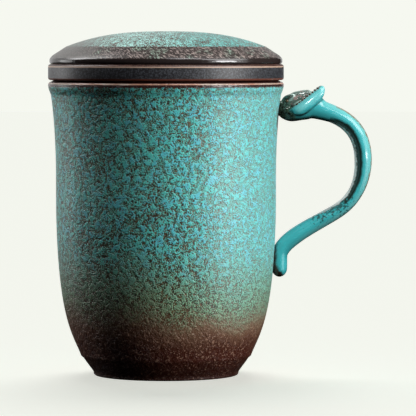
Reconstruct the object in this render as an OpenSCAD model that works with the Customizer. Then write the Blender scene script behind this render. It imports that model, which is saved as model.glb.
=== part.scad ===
// Lidded tea mug with a lift-out ceramic infuser and a beast-head handle.
// Millimetres. The origin is the centre of the foot on the table, +Z is up, +X points to the handle.

/* [Cup] */
// Height of the cup, from the table to the flat of its lip
cup_h = 109.2; // [105:0.2:120]
// Outer radius at the fullest part of the belly
belly_r = 40.75; // [38:0.05:46]
// Height at which the belly reaches its full width
belly_z = 62; // [50:1:66]
// How far the lip stands out beyond the belly
lip_flare = 2.85; // [2:0.05:3.5]
// How far the bead of the lip stands out from the neck below it
lip_bead = 1; // [0.5:0.1:1.6]
// Wall of the cup
cup_wall = 4; // [3:0.1:5]
// Width of the lip, from its outside to the mouth
lip_wall = 3.8; // [3.2:0.1:4.4]
// Thickness of the cup's floor
floor_t = 5; // [3.5:0.5:9]

/* [Foot] */
// Outer radius of the foot where it stands
foot_r = 26.9; // [24:0.1:29]
// How much the foot widens up to the ledge
foot_flare = 3.7; // [2:0.1:4.5]
// Step of the ledge where the glaze of the belly ends
ledge = 1; // [0.4:0.1:1.6]
// Height of the ledge above the table
foot_h = 7.3; // [5:0.1:9]
// Width of the ring that the cup stands on
foot_ring_w = 5.5; // [4:0.1:8]
// Depth of the hollow inside the ring
foot_recess = 2; // [1:0.1:3]

/* [Infuser] */
// Height of the flange that rests on the lip
flange_h = 6; // [4:0.1:8]
// Gap between the infuser's locating cone and the mouth of the cup
infuser_clear = 0.8; // [0.4:0.1:1.2]
// Gap between the basket and the inside of the cup's wall
basket_clear = 0.85; // [0.5:0.05:2]
// Wall of the collar round the bore that takes the lid
collar_wall = 3; // [2.2:0.1:3.6]
// Wall and floor of the basket
basket_wall = 3; // [2.2:0.1:4]
// Depth of the basket below the lip
basket_depth = 64; // [50:1:75]
// How much the basket narrows towards its floor
basket_draft = 2.2; // [0.5:0.1:5]
// Diameter of one drain hole
hole_d = 2.2; // [1.5:0.1:3]
// Distance between the rings of drain holes
hole_pitch = 6.2; // [4.5:0.1:6.8]
// Number of rings of drain holes round the middle one
hole_rings = 4; // [1:1:4]

/* [Lid] */
// How far the lid stays inside the edge of the flange
lid_inset = 0.5; // [0:0.1:2]
// Height of the sloping shoulder round the lid
shoulder_h = 6.4; // [4:0.1:9]
// Width of the sloping shoulder round the lid
shoulder_w = 6.1; // [4:0.1:9]
// Rise of the dome above the shoulder
dome_h = 5.7; // [3:0.1:9]
// Thickness of the dome
lid_t = 4; // [3:0.1:4.5]
// Depth of the spigot under the lid
spigot_h = 8; // [5:0.5:12]
// Wall of the spigot
spigot_wall = 3; // [2:0.1:4]
// Gap between the spigot and the bore of the infuser
lid_clear = 0.8; // [0.4:0.1:1.2]

/* [Handle] */
// Distance from the belly to the outermost point of the handle
handle_reach = 35.6; // [31:0.1:42]
// Distance from the lip down to the outermost point of the bow
grip_drop = 29.7; // [26:0.1:34]
// Distance from the lip down to the middle of the bow where it leaves the head
bow_drop = 11.3; // [10:0.1:13]
// Slope of the bow where it leaves the head, in degrees
bow_dip = 14; // [8:1:20]
// Thickness of the bow, seen from the side
bow_t = 6.6; // [5.5:0.1:7.5]
// Width of the bow, seen from the end
bow_w = 8.8; // [7:0.1:11]
// Thickness of the waist, where the bow gives way to the arm
waist_t = 5.5; // [4.5:0.1:7]
// Distance from the outermost point in to the start of the arm
arm_in = 10; // [8:0.1:12]
// Distance from the outermost point down to the start of the arm
arm_drop = 19; // [17:0.1:23]
// Slope of the arm at its start, in degrees
arm_slope = 31; // [24:1:36]
// Thickness of the arm near the elbow
arm_t = 6.3; // [5:0.1:7]
// Distance from the lip down to the tail, where the arm has turned to lie down the wall
tail_drop = 65.2; // [62:0.2:70]
// Thickness of the tail
tail_t = 5.9; // [5:0.1:6.5]
// Distance from the wall to the middle of the tail
tail_stand = 2; // [1:0.1:2.4]
// Length of the tail
tail_len = 7.7; // [6:0.1:12]

/* [Head] */
// Length of the head, from the wall to the neck where the bow begins
head_len = 16; // [14:0.1:18]
// Distance from the lip down to the middle of the head
head_drop = 9.8; // [9:0.1:12]
// Height of the head at its brow
head_h = 10.8; // [8.5:0.1:12]
// Width of the head at its brow
head_w = 11; // [9:0.1:13]
// Thickness of the horn roll on each side
horn_t = 4.9; // [3.5:0.1:5.5]
// Distance between the horn rolls at their thick ends
horn_spread = 9.2; // [7:0.1:11]

/* [Hidden] */
$fn = 180;

// Cup
edge = 0.8;
mouth_edge = 0.5;
lip_round = 1;
foot_edge = 0.6;
corner_r = 8;
lip_r = belly_r + lip_flare;
neck_r = lip_r - lip_bead;
mouth_r = lip_r - lip_wall;
base_r = foot_r + foot_flare + ledge;
ledge_drop = 0.9;
neck_z = cup_h - 5.2;
bead_z = cup_h - 1.6;
flare_z = cup_h - 35.2;
floor_top = foot_recess + floor_t;
foot_in_r = foot_r - foot_ring_w;

// Infuser
flange_r = lip_r;
flange_top = cup_h + flange_h;
seat_r = mouth_r - infuser_clear;
bore_r = seat_r - collar_wall;
bore_depth = spigot_h + 1;
bore_low = flange_top - bore_depth;
cone_low = min(bore_low, cup_h) - 8;
basket_r = min(belly_r - cup_wall - basket_clear, seat_r);
basket_low = cup_h - basket_depth;
basket_low_r = basket_r - basket_draft;
basket_round = 3;

// Lid
lid_r = flange_r - lid_inset;
shoulder_r = lid_r - shoulder_w;
spigot_r = bore_r - lid_clear;
hollow_r = spigot_r - spigot_wall;
dome_power = 2.6;

// Handle
sides = 20;
bow_steps = 8;
arm_steps = 10;

// Points of a cubic curve from a to d
function curve(a, b, c, d, steps) = [
    for (i = [0:steps]) let (t = i / steps, u = 1 - t)
        u * u * u * a + 3 * u * u * t * b + 3 * u * t * t * c + t * t * t * d
];

// Points of an arc, both ends included
function arc(x, y, r, from, to, steps) = [
    for (i = [0:steps]) let (a = from + (to - from) * i / steps) [x + r * cos(a), y + r * sin(a)]
];

function reverse(list) = [for (i = [len(list) - 1:-1:0]) list[i]];

// The same line moved to its left by d
function shifted(line, d) = [
    for (i = [0:len(line) - 1])
        let (
            v = line[min(i + 1, len(line) - 1)] - line[max(i - 1, 0)],
            n = [-v[1], v[0]] / norm(v)
        )
        line[i] + d * n
];

// Outside of the cup, from the table to the flat of the lip, as [radius, height]
belly_line = curve(
    [base_r, foot_h], [base_r + 2.6, foot_h + 7.3], [belly_r - 0.6, belly_z - 42.4], [belly_r, belly_z], 16
);
flare_line = curve(
    [belly_r, flare_z], [belly_r, flare_z + 6.5], [neck_r - 1.5, neck_z - 10.2], [neck_r, neck_z], 10
);
bead_line = curve(
    [neck_r, neck_z], [neck_r + 0.45, neck_z + 1.2], [lip_r, bead_z - 1.4], [lip_r, bead_z], 4
);
outer_line = concat(
    arc(foot_r - edge, edge, edge, -90, 0, 4),
    [[base_r - ledge, foot_h - ledge_drop]],
    belly_line,
    [for (i = [0:len(flare_line) - 2]) flare_line[i]],
    bead_line,
    arc(lip_r - lip_round, cup_h - lip_round, lip_round, 0, 90, 5)
);

// Inside of the cup, from the corner at the floor up to the mouth
wall_line = shifted(concat(belly_line, flare_line), cup_wall);
corner_z = floor_top + corner_r;
inside_above = [for (p = wall_line) if (p[1] > corner_z + 1 && p[1] < neck_z - 1) p];
corner_x = inside_above[0][0] - 0.8;
corner_line = curve(
    [corner_x - corner_r, floor_top], [corner_x - 3, floor_top], [corner_x - 0.8, corner_z - 4],
    [corner_x, corner_z], 6
);
inner_line = concat(
    [[0, floor_top]],
    corner_line,
    inside_above,
    [[mouth_r, cup_h - mouth_edge], [mouth_r + mouth_edge, cup_h]]
);

// Outer radius of the cup at a height
function wall_r(z) = lookup(z, [for (p = outer_line) [p[1], p[0]]]);

module cup_outside() {
    rotate_extrude() polygon(concat([[0, 0]], outer_line, [[0, cup_h]]));
}

module cup_body() {
    color("#46aaa6")
        rotate_extrude()
            polygon(concat(
                [[0, foot_recess], [foot_in_r - foot_edge, foot_recess], [foot_in_r, foot_edge]],
                [[foot_in_r + foot_edge, 0]],
                outer_line,
                reverse(inner_line)
            ));
}

// A closed skin over a list of rings that all have the same number of points
module skin(rings) {
    n = len(rings[0]);
    last = len(rings) - 1;
    polyhedron(
        points = [for (r = rings) each r],
        faces = concat(
            [[for (k = [n - 1:-1:0]) k]],
            [for (i = [0:last - 1], k = [0:n - 1]) [i * n + k, i * n + (k + 1) % n, (i + 1) * n + k]],
            [for (i = [0:last - 1], k = [0:n - 1])
                [i * n + (k + 1) % n, (i + 1) * n + (k + 1) % n, (i + 1) * n + k]],
            [[for (k = [0:n - 1]) last * n + k]]
        )
    );
}

// An oval ring square to a path in the XZ plane that travels at an angle there
function oval(x, z, travel, half_t, half_w, count) = [
    for (k = [0:count - 1]) let (a = 360 * k / count)
        [x - half_t * cos(a) * sin(travel), half_w * sin(a), z + half_t * cos(a) * cos(travel)]
];

function heading(a) = [cos(a), sin(a)];

// Middle of the handle in the XZ plane: the bow from the neck to its outermost point, the bow below that
// as far as the arm, and the arm with the elbow that turns it down the wall
head_z = cup_h - head_drop;
neck = [wall_r(head_z) + head_len, cup_h - bow_drop];
bow_out = [belly_r + handle_reach - bow_t / 2, cup_h - grip_drop];
arm_start = bow_out - [arm_in, arm_drop];
tail_z = cup_h - tail_drop;
tail_start = [wall_r(tail_z) + tail_stand, tail_z];
upper_span = bow_out - neck;
arm_span = arm_start - tail_start;
upper_bow = curve(
    neck, neck + 0.62 * upper_span[0] * heading(-bow_dip), bow_out - [0, 0.59 * upper_span[1]], bow_out,
    bow_steps
);
lower_bow = curve(
    bow_out, bow_out - [0, 0.4 * arm_drop], arm_start + 0.85 * arm_in * heading(arm_slope), arm_start,
    bow_steps
);
arm = curve(
    arm_start, arm_start - 0.44 * arm_span[0] * heading(arm_slope), tail_start + [0, 0.36 * arm_span[1]],
    tail_start, arm_steps
);
handle_line = concat(
    upper_bow, [for (i = [1:bow_steps]) lower_bow[i]], [for (i = [1:arm_steps]) arm[i]]
);
handle_last = 2 * bow_steps + arm_steps;
thickness = [
    [0, bow_t], [bow_steps, bow_t], [1.5 * bow_steps, waist_t], [1.9 * bow_steps, waist_t],
    [2 * bow_steps + 0.4 * arm_steps, arm_t], [2 * bow_steps + 0.6 * arm_steps, arm_t],
    [handle_last, tail_t]
];

function line_angle(line, i) =
    let (v = line[min(i + 1, len(line) - 1)] - line[max(i - 1, 0)]) atan2(v[1], v[0]);

function handle_ring(i) =
    let (
        travel = i == 0 ? -bow_dip : i == handle_last ? -90 : line_angle(handle_line, i),
        half_t = lookup(i, thickness) / 2
    )
    oval(handle_line[i][0], handle_line[i][1], travel, half_t, half_t * bow_w / bow_t, sides);

// The tail ends in a rounded tip
tail_half = tail_t / 2;
tail_round_z = tail_start[1] - tail_len + tail_half;

function tail_ring(a) = oval(
    tail_start[0], tail_round_z - tail_half * sin(a), -90, tail_half * cos(a),
    tail_half * cos(a) * bow_w / bow_t, sides
);

module handle() {
    color("#3fa3a6")
        difference() {
            skin(concat(
                [for (i = [0:handle_last]) handle_ring(i)],
                [for (a = [0:20:80]) tail_ring(a)]
            ));
            cup_outside();
        }
}

// The head runs from the neck to the wall: share of that way, lift of its middle, and its height and width
// as shares of those at the brow
head_x = neck[0];
snout_x = wall_r(head_z) - 1.5;
head_sections = [
    [0.08, -0.35, 0.68, 0.83],
    [0.20, 0.0, 0.87, 0.90],
    [0.38, 0.4, 0.97, 0.97],
    [0.56, 0.15, 1.0, 1.0],
    [0.74, -0.5, 0.93, 0.9],
    [0.88, -1.0, 0.70, 0.72],
    [1.0, -1.1, 0.46, 0.5]
];
head_rings = concat(
    [oval(head_x, neck[1], 180 - bow_dip, bow_t / 2, bow_w / 2, sides)],
    [for (s = head_sections)
        oval(
            head_x + (snout_x - head_x) * s[0], head_z + s[1],
            180 - bow_dip + (10 + bow_dip) * s[0], head_h / 2 * s[2], head_w / 2 * s[3], sides
        )]
);

// One horn roll: its line in the XZ plane, then a rounded taper along it
horn_start = [head_x - 9.2, head_z - 0.9];
horn_line = curve(
    horn_start, horn_start + [3.6, 1.5], horn_start + [7.2, 4.0], horn_start + [8.9, 6.8], 10
);
horn_in = 1;
horn_sides = 14;

function horn_share(t) = (1 - 0.2 * t) * sqrt(1 - pow(2 * t - 1, 10));

function horn_y(i, side) = side * (horn_spread / 2 - horn_in * i / (len(horn_line) - 1));

function horn_ring(i, side) =
    let (r = max(horn_t / 2 * horn_share(i / (len(horn_line) - 1)), 0.9))
    [for (p = oval(horn_line[i][0], horn_line[i][1], line_angle(horn_line, i), r, r, horn_sides))
        p + [0, horn_y(i, side), 0]];

// The roll starts and ends in a small blunt cap
function horn_cap(i, side, by) =
    let (travel = line_angle(horn_line, i), p = horn_line[i] + by * heading(travel))
    [for (q = oval(p[0], p[1], travel, 1.2, 1.2, horn_sides)) q + [0, horn_y(i, side), 0]];

module horn(side) {
    last = len(horn_line) - 1;
    skin(concat(
        [horn_cap(0, side, -horn_t / 2 * 0.75)],
        [for (i = [1:last - 1]) horn_ring(i, side)],
        [horn_cap(last, side, horn_t / 2 * 0.55)]
    ));
}

module handle_head() {
    color("#3d3a33")
        difference() {
            union() {
                skin(head_rings);
                horn(1);
                horn(-1);
            }
            cup_outside();
        }
}

// Flange, locating cone and basket of the infuser in one turned shape
infuser_outline = concat(
    [[0, basket_low]],
    arc(basket_low_r - basket_round, basket_low + basket_round, basket_round, -90, 0, 4),
    [[basket_r, cone_low], [seat_r, cup_h]],
    arc(flange_r - edge, cup_h + edge, edge, -90, 0, 4),
    arc(flange_r - edge, flange_top - edge, edge, 0, 90, 4),
    [[bore_r + mouth_edge, flange_top], [bore_r, flange_top - mouth_edge], [bore_r, bore_low]],
    [[basket_r - basket_wall, bore_low - 5]],
    reverse(arc(
        basket_low_r - basket_wall - basket_round, basket_low + basket_wall + basket_round, basket_round,
        -90, 0, 4
    )),
    [[0, basket_low + basket_wall]]
);

module infuser() {
    color("#4a4642")
        difference() {
            rotate_extrude() polygon(infuser_outline);
            translate([0, 0, basket_low - 1]) cylinder(h = basket_wall + 2, d = hole_d);
            for (ring = [1:hole_rings], k = [0:6 * ring - 1])
                rotate(60 * k / ring)
                    translate([ring * hole_pitch, 0, basket_low - 1])
                        cylinder(h = basket_wall + 2, d = hole_d);
        }
}

// The dome flattens towards its middle
function dome_z(r) = flange_top + shoulder_h + dome_h * (1 - pow(r / shoulder_r, dome_power));

dome_line = [for (i = [14:-1:0]) let (r = shoulder_r * i / 14) [r, dome_z(r)]];
hollow_line = [for (i = [0:8]) let (r = hollow_r * i / 8) [r, dome_z(r) - lid_t]];
lid_outline = concat(
    [[hollow_r, flange_top - spigot_h + edge], [hollow_r + edge, flange_top - spigot_h]],
    [[spigot_r - edge, flange_top - spigot_h], [spigot_r, flange_top - spigot_h + edge]],
    [[spigot_r, flange_top]],
    arc(lid_r - edge, flange_top + edge, edge, -90, 0, 4),
    [[lid_r - 0.5, flange_top + 2.2]],
    dome_line,
    hollow_line
);

module lid() {
    color("#3f9d99") rotate_extrude() polygon(lid_outline);
}

cup_body();
handle();
handle_head();
infuser();
lid();
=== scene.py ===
"""A lidded tea mug with a lift-out infuser and a beast-head handle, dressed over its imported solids."""
import math

import bpy
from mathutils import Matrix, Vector


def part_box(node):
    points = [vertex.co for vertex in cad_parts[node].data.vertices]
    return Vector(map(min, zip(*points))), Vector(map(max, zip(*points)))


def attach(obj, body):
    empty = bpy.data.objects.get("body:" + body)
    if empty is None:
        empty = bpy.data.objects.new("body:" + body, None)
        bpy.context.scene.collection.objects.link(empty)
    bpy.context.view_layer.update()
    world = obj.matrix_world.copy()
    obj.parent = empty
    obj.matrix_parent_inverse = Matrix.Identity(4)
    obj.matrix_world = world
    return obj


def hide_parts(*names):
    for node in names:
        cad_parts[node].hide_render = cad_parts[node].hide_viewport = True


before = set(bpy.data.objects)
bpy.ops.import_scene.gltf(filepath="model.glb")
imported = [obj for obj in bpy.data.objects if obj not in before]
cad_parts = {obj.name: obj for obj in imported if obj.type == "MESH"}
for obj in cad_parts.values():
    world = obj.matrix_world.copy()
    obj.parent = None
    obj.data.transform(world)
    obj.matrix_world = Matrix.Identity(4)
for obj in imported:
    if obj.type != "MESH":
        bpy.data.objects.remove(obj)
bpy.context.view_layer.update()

# The studio
# A pale floor under a pale backdrop, and soft boxes: those to the right of the camera light the front and
# the lid, those to the left draw the dark side's edge, and a small one lights the handle and head alone. The
# floor glows a little and has a light of its own, so it stays evenly pale round a faint shadow.
scene = bpy.context.scene
scene.view_settings.view_transform = "Standard"
MUG_MIDDLE = Vector((0.0, 0.0, 0.062))


def linear(code):
    """The linear colour of an sRGB hex code."""
    parts = [int(code[i : i + 2], 16) / 255 for i in (1, 3, 5)]
    return [p / 12.92 if p <= 0.04045 else ((p + 0.055) / 1.055) ** 2.4 for p in parts] + [1.0]


bpy.ops.object.camera_add(location=(0.0156, -1.25, 0.122))
camera = bpy.context.object
aim = Vector((0.01556, 0.0, 0.06186))
camera.rotation_euler = (aim - camera.location).to_track_quat("-Z", "Y").to_euler()
camera.data.sensor_width = 36
camera.data.lens = 292.07
scene.camera = camera

mug_set = bpy.data.collections.new("mug")
handle_set = bpy.data.collections.new("handle and head")
floor_set = bpy.data.collections.new("floor")
for each in (mug_set, handle_set, floor_set):
    scene.collection.children.link(each)


def soft_box(name, azimuth, elevation, width, height, power):
    """A light box a metre from the mug, facing it. Azimuth runs from the camera's side to the handle's."""
    turn = math.radians(azimuth)
    rise = math.radians(elevation)
    away = Vector((math.sin(turn) * math.cos(rise), -math.cos(turn) * math.cos(rise), math.sin(rise)))
    bpy.ops.object.light_add(type="AREA", location=MUG_MIDDLE + away)
    box = bpy.context.object
    box.name = name
    box.rotation_euler = away.to_track_quat("Z", "Y").to_euler()
    box.data.shape = "RECTANGLE"
    box.data.size = width
    box.data.size_y = height
    box.data.energy = power
    box.light_linking.receiver_collection = mug_set
    return box


soft_box("key box", 65, -3, 0.8, 0.8, 4.1)
soft_box("key core box", 61, 2, 0.4, 0.05, 2.6)
soft_box("high key box", 66, 36, 0.8, 0.5, 9.3)
soft_box("top box", 28, 62, 0.35, 0.35, 3.4)
soft_box("left box", -108, 42, 0.39, 0.7, 7.0)
soft_box("low left box", -114, 1, 0.39, 0.39, 1.3)
soft_box("back left box", -158, 15, 1.8, 0.8, 3.4)
glint = soft_box("handle glint box", 6, 25, 0.2, 0.14, 4.2)
glint.light_linking.receiver_collection = handle_set

world = bpy.data.worlds.new("pale backdrop")
world.use_nodes = True
world.node_tree.nodes["Background"].inputs["Color"].default_value = linear("#f6f8f0")
world.cycles_visibility.diffuse = False
world.cycles_visibility.glossy = False
scene.world = world

bpy.ops.mesh.primitive_circle_add(vertices=96, radius=5.0, fill_type="NGON")
floor = bpy.context.object
floor.name = "floor"
floor_paper = bpy.data.materials.new("matt pale paper")
floor_paper.use_nodes = True
paper = floor_paper.node_tree.nodes["Principled BSDF"]
paper.inputs["Base Color"].default_value = linear("#e6e8e0")
paper.inputs["Roughness"].default_value = 1.0
paper.inputs["Specular IOR Level"].default_value = 0.0
paper.inputs["Emission Color"].default_value = linear("#f6f8f0")
paper.inputs["Emission Strength"].default_value = 0.69
floor.data.materials.append(floor_paper)
floor.visible_diffuse = False
floor.visible_glossy = False
floor_set.objects.link(floor)

bpy.ops.object.light_add(type="SUN", location=(0.0, 0.0, 2.0))
floor_light = bpy.context.object
floor_light.name = "floor light"
floor_light.rotation_euler = (math.radians(-35), 0.0, 0.0)
floor_light.data.energy = 1.28
floor_light.data.angle = math.radians(40)
floor_light.light_linking.receiver_collection = floor_set

# The cup
# A thrown stoneware cup. Its belly rises almost straight to a neck and a rolled lip, and it stands on a
# turned foot below a narrow ledge. A kiln-changed glaze covers it and thins to bare iron clay near the foot,
# and a plain glaze lines it.
MM = 0.001
cup_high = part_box("cup_body")[1]
LIP_R = cup_high.x / MM
CUP_H = cup_high.z / MM
BELLY_R = LIP_R - 2.85
BELLY_Z = 62.0
NECK_R = LIP_R - 1.0
NECK_Z = CUP_H - 5.2
BEAD_Z = CUP_H - 1.6
FLARE_Z = CUP_H - 35.2
MOUTH_R = LIP_R - 3.8
FOOT_R = 26.9
BASE_R = FOOT_R + 4.7
FOOT_H = 7.3
FOOT_IN_R = FOOT_R - 5.5
FOOT_RECESS = 2.0
FLOOR_TOP = FOOT_RECESS + 5.0
CUP_WALL = 4.0
CAVITY_LOW = 16.0
FLAT_R = 12.0


def curve(a, b, c, d, steps):
    """Points of a cubic curve from a to d, both ends included."""
    points = []
    for i in range(steps + 1):
        t = i / steps
        u = 1 - t
        points.append(
            tuple(
                u**3 * p + 3 * u * u * t * q + 3 * u * t * t * r + t**3 * s
                for p, q, r, s in zip(a, b, c, d)
            )
        )
    return points


def arc(x, z, radius, start, end, steps):
    """Points of an arc given in degrees, both ends included."""
    angles = [math.radians(start + (end - start) * i / steps) for i in range(steps + 1)]
    return [(x + radius * math.cos(a), z + radius * math.sin(a)) for a in angles]


def moved_left(line, distance):
    """The same line moved to its left."""
    moved = []
    for i, point in enumerate(line):
        before = line[max(i - 1, 0)]
        after = line[min(i + 1, len(line) - 1)]
        along = Vector(after) - Vector(before)
        along.normalize()
        moved.append((point[0] - distance * along.y, point[1] + distance * along.x))
    return moved


def finished(piece, name, body, *nodes, slot):
    """Names a finished mesh, smooths its shading and puts it in place of its CAD nodes."""
    piece.name = name
    bpy.ops.object.select_all(action="DESELECT")
    piece.select_set(True)
    bpy.context.view_layer.objects.active = piece
    bpy.ops.object.transform_apply(location=True, rotation=True, scale=True)
    bpy.ops.object.shade_smooth_by_angle(angle=math.radians(50))
    mug_set.objects.link(piece)
    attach(piece, body)
    if nodes:
        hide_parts(*nodes)


def turned(outline, around=192):
    """A thrown shape: the outline in millimetres is drawn as a chain of edges and spun round the axis."""
    bpy.ops.object.select_all(action="DESELECT")
    bpy.ops.mesh.primitive_plane_add(size=MM)
    shape = bpy.context.object
    bpy.ops.object.mode_set(mode="EDIT")
    bpy.ops.mesh.select_all(action="SELECT")
    bpy.ops.mesh.merge(type="CENTER")
    places = [Vector((r * MM, 0.0, z * MM)) for r, z in outline]
    bpy.ops.transform.translate(value=places[0])
    for last, place in zip(places, places[1:]):
        bpy.ops.mesh.extrude_vertices_move(TRANSFORM_OT_translate={"value": place - last})
    bpy.ops.mesh.select_all(action="SELECT")
    bpy.ops.mesh.spin(steps=around, angle=math.tau, center=(0, 0, 0), axis=(0, 0, 1))
    bpy.ops.mesh.select_all(action="SELECT")
    bpy.ops.mesh.remove_doubles(threshold=0.002 * MM)
    bpy.ops.mesh.normals_make_consistent(inside=False)
    bpy.ops.object.mode_set(mode="OBJECT")
    return shape


def give_slot(piece, material, chosen):
    """Adds a material to a piece and gives it to the faces whose middle passes the test."""
    piece.data.materials.append(material)
    number = len(piece.data.materials) - 1
    for face in piece.data.polygons:
        if chosen(face.center / MM):
            face.material_index = number


belly_line = curve(
    (BASE_R, FOOT_H), (BASE_R + 2.6, FOOT_H + 7.3), (BELLY_R - 0.6, BELLY_Z - 42.4), (BELLY_R, BELLY_Z), 40
)
flare_line = curve(
    (BELLY_R, FLARE_Z), (BELLY_R, FLARE_Z + 6.5), (NECK_R - 1.5, NECK_Z - 10.2), (NECK_R, NECK_Z), 26
)
bead_line = curve(
    (NECK_R, NECK_Z), (NECK_R + 0.45, NECK_Z + 1.2), (LIP_R, BEAD_Z - 1.4), (LIP_R, BEAD_Z), 10
)
outer_line = (
    arc(FOOT_R - 0.8, 0.8, 0.8, -90, 0, 5)
    + curve((FOOT_R + 0.1, 1.4), (FOOT_R + 1.4, 3.2), (BASE_R - 1.6, 5.4), (BASE_R - 1.0, 6.4), 8)
    + belly_line
    + flare_line[:-1]
    + bead_line
    + arc(LIP_R - 1.1, CUP_H - 1.6, 1.1, 0, 88, 9)[1:]
    + [(LIP_R - 2.1, CUP_H)]
)
inside_line = [p for p in moved_left(belly_line + flare_line, CUP_WALL) if CAVITY_LOW < p[1] < NECK_Z - 1]
corner = (inside_line[0][0] - 0.8, FLOOR_TOP + 8)
inner_line = (
    [(MOUTH_R + 0.5, CUP_H), (MOUTH_R, CUP_H - 0.5)]
    + inside_line[::-1]
    + curve(
        corner, (corner[0] - 0.8, corner[1] - 4), (corner[0] - 3, FLOOR_TOP), (corner[0] - 8, FLOOR_TOP), 10
    )
    + [(FLAT_R, FLOOR_TOP), (0.0, FLOOR_TOP)]
)
cup = turned(
    [(0.0, FOOT_RECESS), (FLAT_R, FOOT_RECESS), (FOOT_IN_R - 0.6, FOOT_RECESS), (FOOT_IN_R, 0.6)]
    + [(FOOT_IN_R + 0.6, 0.0)]
    + outer_line
    + inner_line,
    around=256,
)


def wall_radius(z):
    """Outer radius of the cup at a height, in millimetres."""
    for (r0, z0), (r1, z1) in zip(outer_line, outer_line[1:]):
        if z0 <= z <= z1:
            return r0 + (r1 - r0) * (z - z0) / (z1 - z0)
    return LIP_R


# Mixes are of colours, and ranges start and end softly, where a node's own settings say nothing else.
USUAL = {"Mix": {"data_type": "RGBA"}, "MapRange": {"interpolation_type": "SMOOTHSTEP"}}


def add(tree, kind, inputs=None, **settings):
    """Adds a node with its settings and links. An input is a node, a socket, a colour code or a value."""
    new = tree.nodes.new("ShaderNode" + kind)
    for name, value in (USUAL.get(kind, {}) | settings).items():
        setattr(new, name, value)
    for key, value in (inputs or {}).items():
        if isinstance(key, str):
            key = next(i for i, s in enumerate(new.inputs) if s.enabled and s.name == key)
        if isinstance(value, str):
            value = linear(value)
        if isinstance(value, bpy.types.Node):
            value = next(s for s in value.outputs if s.enabled)
        if isinstance(value, bpy.types.NodeSocket):
            tree.links.new(value, new.inputs[key])
        else:
            new.inputs[key].default_value = value
    return new


def new_glaze(name, roughness):
    """A fired glaze: its material, its node tree, its shader and the place on the piece in millimetres."""
    material = bpy.data.materials.new(name)
    material.use_nodes = True
    tree = material.node_tree
    shader = tree.nodes["Principled BSDF"]
    shader.inputs["Roughness"].default_value = roughness
    shader.inputs["IOR"].default_value = 1.5
    spot = add(tree, "TexCoord").outputs["Object"]
    place = add(tree, "VectorMath", {"Vector": spot, "Scale": 1 / MM}, operation="SCALE")
    return material, tree, shader, place


def vein_net(tree, place, starved, share=1.0):
    """How thick the kiln glaze lies, 1 on an island and 0 in a vein, and how deep in an island a spot is.

    The veins follow the middle values of two fine noises that cross each other, so they wind and branch like
    the real ones. They are wide along the ragged edges of the islands, cells of 3 mm, and thin as a hair
    across them. Pits of 0.4 mm fray them.
    """
    spread = add(tree, "TexNoise", {"Vector": place, "Scale": 1 / 1.6, "Detail": 2.0})
    warp = add(tree, "VectorMath", {0: spread.outputs["Color"], 1: (0.5, 0.5, 0.5)}, operation="SUBTRACT")
    warp = add(tree, "VectorMath", {"Vector": warp, "Scale": 3.6}, operation="SCALE")
    warp = add(tree, "VectorMath", {0: warp, 1: place}, operation="ADD")
    cells = add(tree, "TexVoronoi", {"Vector": warp, "Scale": 1 / 3.0}, feature="DISTANCE_TO_EDGE")
    islands = add(tree, "Math", {0: cells, 1: 0.8, 2: spread}, operation="MULTIPLY_ADD")
    islands = add(tree, "Math", {0: islands, 1: 0.12}, operation="SUBTRACT")
    width = add(
        tree,
        "MapRange",
        {"Value": islands, "From Min": 0.38, "From Max": 0.58, "To Min": 0.055, "To Max": -0.025},
    )
    width = add(tree, "Math", {0: width, 1: starved}, operation="ADD")
    width = add(tree, "Math", {0: width, 1: share}, operation="MULTIPLY")
    waves = add(tree, "TexNoise", {"Vector": place, "Scale": 1 / 1.3, "Detail": 1.0})
    waves = add(tree, "VectorMath", {0: waves.outputs["Color"], 1: (0.5, 0.5, 0.5)}, operation="SUBTRACT")
    waves = add(tree, "VectorMath", {0: waves}, operation="ABSOLUTE")
    waves = add(tree, "SeparateXYZ", {0: waves})
    away = add(tree, "Math", {0: waves.outputs["X"], 1: waves.outputs["Y"]}, operation="MINIMUM")
    pits = add(tree, "TexNoise", {"Vector": place, "Scale": 1 / 0.4, "Detail": 0.0})
    pits = add(tree, "Math", {0: pits, 1: 0.5}, operation="SUBTRACT")
    away = add(tree, "Math", {0: pits, 1: 0.5, 2: away}, operation="MULTIPLY_ADD")
    inner = add(tree, "Math", {0: width, 1: 0.005}, operation="SUBTRACT")
    outer = add(tree, "Math", {0: width, 1: 0.005}, operation="ADD")
    body = add(tree, "MapRange", {"Value": away, "From Min": inner, "From Max": outer})
    near = add(tree, "MapRange", {"Value": islands, "From Min": 0.41, "From Max": 0.58})
    return body, near


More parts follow.
